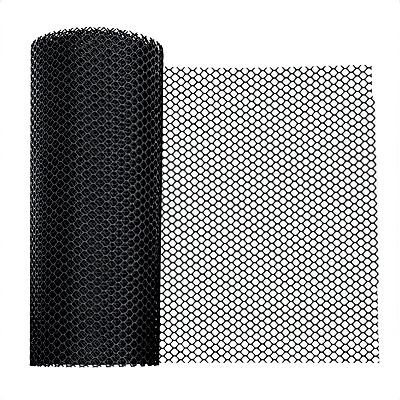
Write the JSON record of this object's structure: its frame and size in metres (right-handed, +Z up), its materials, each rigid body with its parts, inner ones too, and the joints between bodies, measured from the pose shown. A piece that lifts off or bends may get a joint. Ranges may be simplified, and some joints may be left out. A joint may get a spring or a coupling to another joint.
{
  "type": "roll of plastic mesh",
  "caption": "Black plastic netting with six-sided holes, wound into a roll that stands on end with its outer end pulled out to one side.",
  "frame": {"origin": "middle of the bounding box's base, on the surface that the roll stands on", "axes": "+Z up along the roll, +X the way the loose end points, +Y towards the side where it leaves the roll"},
  "size_m": [0.4488, 0.1972, 0.4],
  "materials": {
    "net_plastic": "black polyethylene with a soft sheen"
  },
  "bodies": {
    "root": {"wound_roll": "net_plastic", "loose_end": "net_plastic"}
  },
  "joints": []
}
